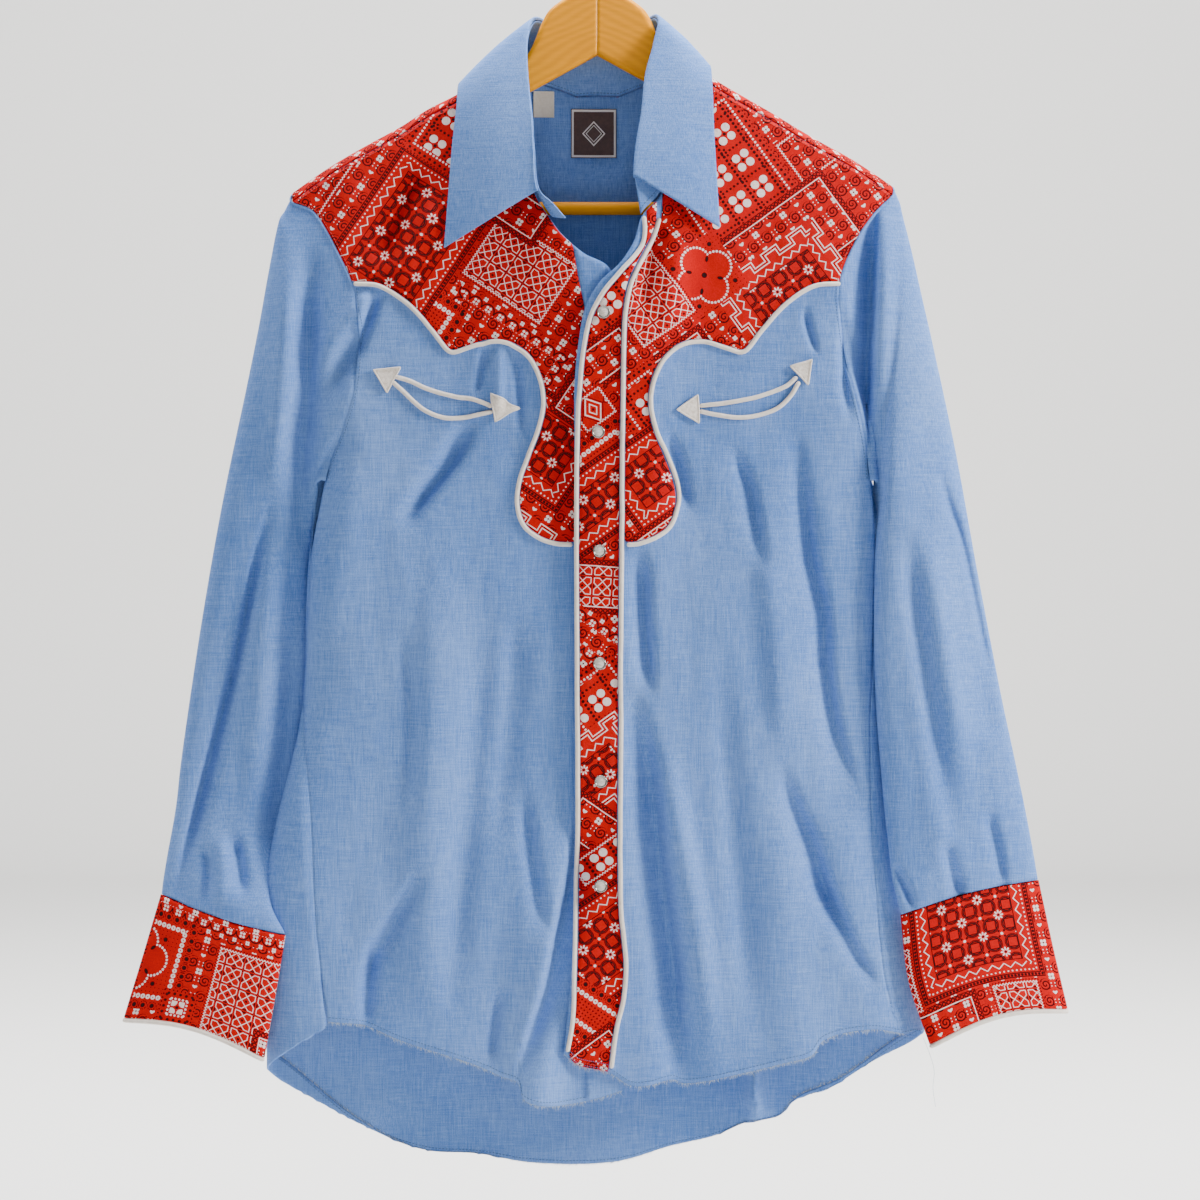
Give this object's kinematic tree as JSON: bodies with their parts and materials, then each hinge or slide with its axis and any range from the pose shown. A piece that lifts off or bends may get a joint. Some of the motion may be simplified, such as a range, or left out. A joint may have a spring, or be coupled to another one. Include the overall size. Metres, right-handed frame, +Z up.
{
  "type": "western snap shirt on a hanger",
  "caption": "Long-sleeved western shirt of chambray with patterned yokes, placket and cuffs, piping, pearl snaps and smile pockets, hung on a flat wooden hanger.",
  "frame": {"origin": "inner top of the hanger's hook, where it hangs on a rail", "axes": "+Z up, -Y the shirt's front, -X the wearer's right"},
  "size_m": [0.7203, 0.0863, 0.9822],
  "materials": {
    "chambray": "matte",
    "bandana": "matte",
    "piping": "matte",
    "pearl": "gloss",
    "woven": "matte",
    "label": "matte",
    "wood": "satin",
    "dowel": "matte",
    "steel": "polished"
  },
  "bodies": {
    "root": {"front_right": "chambray", "front_left": "chambray", "back": "chambray", "underlap_band": "chambray", "collar_stand": "chambray", "collar_leaf": "chambray", "sleeve_right": "chambray", "sleeve_left": "chambray", "yoke_front_right": "bandana", "yoke_front_left": "bandana", "yoke_back": "bandana", "placket": "bandana", "cuff_right": "bandana", "cuff_left": "bandana", "piping_yoke_right": "piping", "piping_yoke_left": "piping", "piping_yoke_back": "piping", "piping_placket_inner": "piping", "piping_placket_outer": "piping", "piping_cuff_right": "piping", "piping_cuff_left": "piping", "pocket_right_welt_upper": "piping", "pocket_right_welt_lower": "piping", "pocket_left_welt_upper": "piping", "pocket_left_welt_lower": "piping", "arrow_right_outer": "piping", "arrow_right_inner": "piping", "arrow_left_outer": "piping", "arrow_left_inner": "piping", "snap_1": "pearl", "snap_2": "pearl", "snap_3": "pearl", "snap_4": "pearl", "snap_5": "pearl", "snap_6": "pearl", "cuff_snap_right_1": "pearl", "cuff_snap_right_2": "pearl", "cuff_snap_left_1": "pearl", "cuff_snap_left_2": "pearl", "neck_label": "woven", "care_label": "label", "hanger_arm_right": "wood", "hanger_arm_left": "wood", "hanger_bar": "dowel", "hanger_hook": "steel"}
  },
  "joints": []
}
